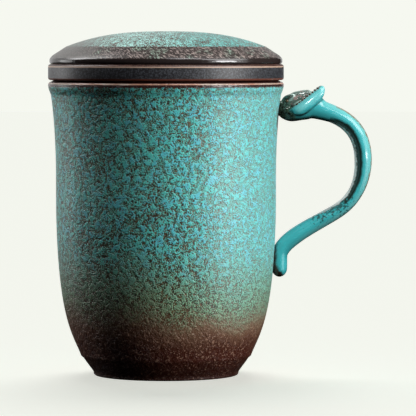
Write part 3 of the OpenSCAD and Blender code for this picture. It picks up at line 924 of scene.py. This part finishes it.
def drilled(basket, hole_radius, pitch, rings):
    """Drills the floor: a hole in the middle and rings of six, twelve and so on round it."""
    low, high = (BASKET_LOW - 1) * MM, (BASKET_FLOOR + 1) * MM
    bpy.ops.object.select_all(action="DESELECT")
    bpy.ops.mesh.primitive_cylinder_add(
        vertices=20, radius=hole_radius * MM, depth=high - low, location=(0, 0, (low + high) / 2)
    )
    drill = bpy.context.object
    bpy.ops.object.transform_apply(location=True, rotation=True, scale=True)
    bits = [drill]
    for ring in range(1, rings + 1):
        for k in range(6 * ring):
            turn = math.tau * k / (6 * ring)
            copy = drill.copy()
            copy.data = drill.data.copy()
            scene.collection.objects.link(copy)
            copy.location = (ring * pitch * MM * math.cos(turn), ring * pitch * MM * math.sin(turn), 0.0)
            bits.append(copy)
    bits = joined(bits)
    cut = basket.modifiers.new("drain holes", "BOOLEAN")
    cut.operation = "DIFFERENCE"
    cut.solver = "EXACT"
    cut.object = bits
    bpy.context.view_layer.objects.active = basket
    bpy.ops.object.modifier_apply(modifier=cut.name)
    bpy.data.objects.remove(bits)


drilled(infuser, HOLE_R, HOLE_PITCH, HOLE_RINGS)


def iron_glaze():
    """Dark iron glaze, finely speckled and near black where thick; pale copper and a painted highlight on
    edges.
    """
    material, tree, shader, place = new_glaze("dark iron glaze", 0.42)
    z = add(tree, "SeparateXYZ", {0: place}).outputs["Z"]
    speck = add(tree, "TexNoise", {"Vector": place, "Scale": 1 / 0.6, "Detail": 2.0, "Roughness": 0.6})
    speck = add(
        tree, "MapRange", {"Value": speck, "From Min": 0.45, "From Max": 0.72}, interpolation_type="LINEAR"
    )
    skin = add(tree, "Mix", {"Factor": speck, "A": "#222124", "B": "#54585e"})
    over = add(tree, "MapRange", {"Value": z, "From Min": FLANGE_TOP - 0.95, "From Max": FLANGE_TOP - 0.65})
    rubbed = add(tree, "Mix", {"Factor": speck, "A": "#3c2825", "B": "#6c4c40"})
    skin = add(tree, "Mix", {"Factor": over, "A": skin, "B": rubbed})
    under = add(tree, "Math", {0: z, 1: CUP_H + 0.1}, operation="SUBTRACT")
    under = add(tree, "Math", {0: under}, operation="ABSOLUTE")
    under = add(tree, "MapRange", {"Value": under, "From Min": 0.9, "From Max": 0.5})
    skin = add(tree, "Mix", {"Factor": under, "A": skin, "B": "#7c4434"})
    # A pale line below the flange's top: thin copper glaze on the edge, partly a painted highlight.
    crest = add(tree, "Math", {0: z, 1: FLANGE_TOP - 0.95}, operation="SUBTRACT")
    crest = add(tree, "Math", {0: crest}, operation="ABSOLUTE")
    crest = add(tree, "MapRange", {"Value": crest, "From Min": 0.32, "From Max": 0.08})
    skin = add(tree, "Mix", {"Factor": crest, "A": skin, "B": "#c0a490"})
    tree.links.new(skin.outputs[2], shader.inputs["Base Color"])
    return material


infuser.data.materials.append(iron_glaze())
finished(infuser, "infuser_basket", "infuser", "infuser", slot="infuser_glaze")

# The lid
# A thrown dome with a sloping shoulder and a spigot that centres it in the infuser. The dome has the cup's
# turquoise glaze, and the shoulder stays brown with light flecks where the glaze ran thin.
lid_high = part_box("lid")[1]
LID_R = lid_high.x / MM
SHOULDER_Z = FLANGE_TOP + 6.4
SHOULDER_R = LID_R - 6.1
DOME_H = 5.7
LID_T = 4.0
SPIGOT_R = BORE_R - 0.8
SPIGOT_LOW = FLANGE_TOP - 8
HOLLOW_R = SPIGOT_R - 3


def dome_z(r):
    """Height of the dome at a radius: it flattens towards its middle."""
    return SHOULDER_Z + DOME_H * (1 - (r / SHOULDER_R) ** 2.6)


lid = turned(
    [(0.0, dome_z(0) - LID_T)]
    + [(HOLLOW_R * i / 12, dome_z(HOLLOW_R * i / 12) - LID_T) for i in range(1, 13)]
    + [(HOLLOW_R, SPIGOT_LOW + 0.8), (HOLLOW_R + 0.8, SPIGOT_LOW), (SPIGOT_R - 0.8, SPIGOT_LOW)]
    + [(SPIGOT_R, SPIGOT_LOW + 0.8), (SPIGOT_R, FLANGE_TOP), (LID_R - 1.6, FLANGE_TOP)]
    + arc(LID_R - 0.8, FLANGE_TOP + 0.9, 0.8, -90, 0, 6)
    + [(LID_R, FLANGE_TOP + 0.95), (LID_R, FLANGE_TOP + 1.4)]
    + curve(
        (LID_R, FLANGE_TOP + 1.5), (LID_R, FLANGE_TOP + 2.1), (LID_R - 0.6, FLANGE_TOP + 2.6),
        (LID_R - 1.3, FLANGE_TOP + 3.3), 6,
    )
    + [(SHOULDER_R * i / 24, dome_z(SHOULDER_R * i / 24)) for i in range(24, -1, -1)]
)


def lid_glaze():
    """The cup's glaze on the dome, drawn out as it ran, and dark brown with light flecks on the shoulder."""
    material, tree, shader, place = new_glaze("kiln glaze of the lid", 0.4)
    axes = add(tree, "SeparateXYZ", {0: place})
    x, z = axes.outputs["X"], axes.outputs["Z"]
    flat = add(tree, "VectorMath", {0: place, 1: (1.0, 1.0, 0.0)}, operation="MULTIPLY")
    radius = add(tree, "VectorMath", {0: flat}, operation="LENGTH")
    grit = add(tree, "TexNoise", {"Vector": place, "Scale": 1 / 0.8, "Detail": 2.0, "Roughness": 0.7})
    drift = add(tree, "TexNoise", {"Vector": place, "Scale": 1 / 7.0, "Detail": 3.0})

    around = add(tree, "VectorMath", {0: flat}, operation="NORMALIZE")
    around = add(tree, "VectorMath", {"Vector": around, "Scale": SHOULDER_R}, operation="SCALE")
    drawn = add(tree, "Math", {0: radius, 1: SHOULDER_R}, operation="DIVIDE")
    drawn = add(tree, "Math", {0: drawn, 1: 0.6}, operation="POWER")
    run = add(tree, "VectorMath", {"Vector": around, "Scale": drawn}, operation="SCALE")
    starved = add(
        tree,
        "MapRange",
        {"Value": drift, "From Min": 0.4, "From Max": 0.62, "To Min": 0.008, "To Max": 0.045},
        interpolation_type="LINEAR",
    )
    body = vein_net(tree, run, starved)[0]
    deep = add(tree, "Math", {0: drift, 1: 40.0, 2: x}, operation="MULTIPLY_ADD")
    deep = add(tree, "MapRange", {"Value": deep, "From Min": 4.0, "From Max": 44.0})
    island = add(tree, "Mix", {"Factor": deep, "A": "#aadcd4", "B": "#66bab4"})
    vein = add(tree, "Mix", {"Factor": grit, "A": "#32221e", "B": "#765c52"})
    dome = add(tree, "Mix", {"Factor": body, "A": vein, "B": island})

    sweep = add(tree, "Math", {0: radius, 1: -0.025}, operation="MULTIPLY")
    spun = add(tree, "VectorRotate", {"Vector": around, "Angle": sweep}, rotation_type="Z_AXIS")
    fall = add(tree, "Math", {0: radius, 1: 0.8}, operation="MULTIPLY")
    fall = add(tree, "CombineXYZ", {"Z": fall})
    slant = add(tree, "VectorMath", {0: spun, 1: fall}, operation="ADD")
    fleck = add(tree, "TexNoise", {"Vector": slant, "Scale": 1 / 0.6, "Detail": 2.0, "Roughness": 0.6})
    fleck = add(tree, "MapRange", {"Value": fleck, "From Min": 0.5, "From Max": 0.62})
    pale = add(tree, "MapRange", {"Value": drift, "From Min": 0.5, "From Max": 0.62})
    pale = add(tree, "Mix", {"Factor": pale, "A": "#988a84", "B": "#94a898"})
    shoulder = add(tree, "Mix", {"Factor": fleck, "A": "#3a3331", "B": pale})
    outside = add(tree, "Math", {0: grit, 1: 0.5, 2: radius}, operation="MULTIPLY_ADD")
    outside = add(
        tree, "MapRange", {"Value": outside, "From Min": SHOULDER_R - 0.1, "From Max": SHOULDER_R + 0.3}
    )
    skin = add(tree, "Mix", {"Factor": outside, "A": dome, "B": shoulder})
    # Painted sheen: the lid greys towards the left, where the lights to the left gleam on its glaze.
    left_sheen = add(tree, "Math", {0: drift, 1: 24.0, 2: x}, operation="MULTIPLY_ADD")
    left_sheen = add(tree, "MapRange", {"Value": left_sheen, "From Min": -4.0, "From Max": -22.0, "To Max": 0.85})
    skin = add(tree, "Mix", {"Factor": left_sheen, "A": skin, "B": "#6e6c69"})
    edge = add(tree, "Math", {0: grit, 1: 0.8, 2: z}, operation="MULTIPLY_ADD")
    edge = add(
        tree, "MapRange", {"Value": edge, "From Min": FLANGE_TOP + 3.0, "From Max": FLANGE_TOP + 2.4}
    )
    skin = add(tree, "Mix", {"Factor": edge, "A": skin, "B": "#2e2726"})
    tree.links.new(skin.outputs[2], shader.inputs["Base Color"])
    gloss = add(
        tree, "MapRange", {"Value": edge, "To Min": 0.4, "To Max": 0.15}, interpolation_type="LINEAR"
    )
    tree.links.new(gloss.outputs[0], shader.inputs["Roughness"])

    pebble = add(tree, "TexNoise", {"Vector": place, "Scale": 1 / 2.2, "Detail": 2.0})
    height = add(tree, "Math", {0: pebble, 1: 1.5, 2: fleck}, operation="MULTIPLY_ADD")
    height = add(tree, "Math", {0: grit, 1: 0.5, 2: height}, operation="MULTIPLY_ADD")
    flatter = add(
        tree, "MapRange", {"Value": edge, "To Min": 1.0, "To Max": 0.15}, interpolation_type="LINEAR"
    )
    relief = add(tree, "Bump", {"Height": height, "Distance": 0.00005, "Strength": flatter})
    tree.links.new(relief.outputs["Normal"], shader.inputs["Normal"])
    return material


lid.data.materials.append(lid_glaze())
finished(lid, "domed_lid", "lid", "lid", slot="lid_glaze")
